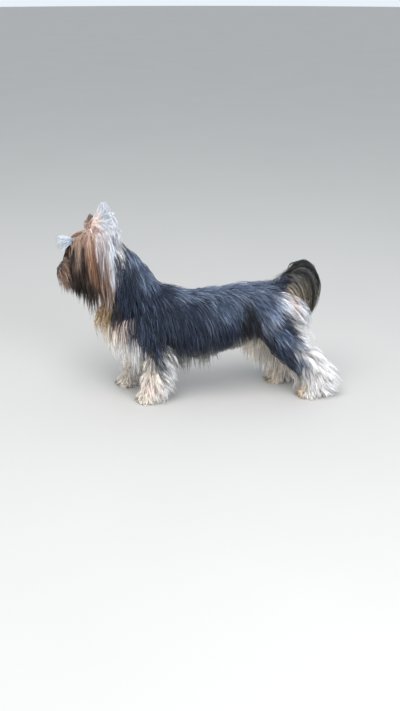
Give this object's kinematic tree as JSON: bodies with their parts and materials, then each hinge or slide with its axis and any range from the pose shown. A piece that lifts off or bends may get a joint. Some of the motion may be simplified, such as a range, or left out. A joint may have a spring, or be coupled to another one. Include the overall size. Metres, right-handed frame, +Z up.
{
  "type": "standing terrier figure",
  "caption": "Life-size standing long-coated toy terrier with upright ears, topknot, short raised tail and hair down to the feet, head turned slightly to its left.",
  "frame": {"origin": "on the floor, under the middle of the dog's overall box", "axes": "+Z up, -X towards the dog's head, -Y towards the dog's left side"},
  "size_m": [0.5085, 0.1407, 0.3661],
  "materials": {
    "blue_coat": "long silky hair, dark steel blue",
    "dark_coat": "long silky hair, blue black",
    "tan_coat": "long silky hair, tan with darker strands",
    "silver_coat": "fine silky hair, silver to cream",
    "cream_coat": "silky hair, cream",
    "nose_leather": "moist, finely pebbled",
    "claw_horn": "smooth horn, satin",
    "eye": "wet gloss"
  },
  "bodies": {
    "root": {"trunk": "blue_coat", "neck": "blue_coat", "tail": "dark_coat", "tail_plume": "dark_coat", "eye_left": "eye", "eye_right": "eye", "nose": "nose_leather", "muzzle": "tan_coat", "head": "tan_coat", "fall_left": "tan_coat", "fall_right": "tan_coat", "beard": "tan_coat", "moustache_left": "tan_coat", "moustache_right": "tan_coat", "ear_left": "silver_coat", "ear_right": "silver_coat", "ear_fringe_left": "silver_coat", "ear_fringe_right": "silver_coat", "topknot": "silver_coat", "foreleg_left_upper": "cream_coat", "foreleg_left_lower": "cream_coat", "foreleg_left_paw": "cream_coat", "foreleg_left_claw_1": "claw_horn", "foreleg_left_claw_2": "claw_horn", "foreleg_left_claw_3": "claw_horn", "foreleg_left_claw_4": "claw_horn", "foreleg_right_upper": "cream_coat", "foreleg_right_lower": "cream_coat", "foreleg_right_paw": "cream_coat", "foreleg_right_claw_1": "claw_horn", "foreleg_right_claw_2": "claw_horn", "foreleg_right_claw_3": "claw_horn", "foreleg_right_claw_4": "claw_horn", "hindleg_left_thigh": "blue_coat", "hindleg_left_shank": "cream_coat", "hindleg_left_paw": "cream_coat", "hindleg_left_claw_1": "claw_horn", "hindleg_left_claw_2": "claw_horn", "hindleg_left_claw_3": "claw_horn", "hindleg_left_claw_4": "claw_horn", "hindleg_right_thigh": "blue_coat", "hindleg_right_shank": "cream_coat", "hindleg_right_paw": "cream_coat", "hindleg_right_claw_1": "claw_horn", "hindleg_right_claw_2": "claw_horn", "hindleg_right_claw_3": "claw_horn", "hindleg_right_claw_4": "claw_horn"}
  },
  "joints": []
}
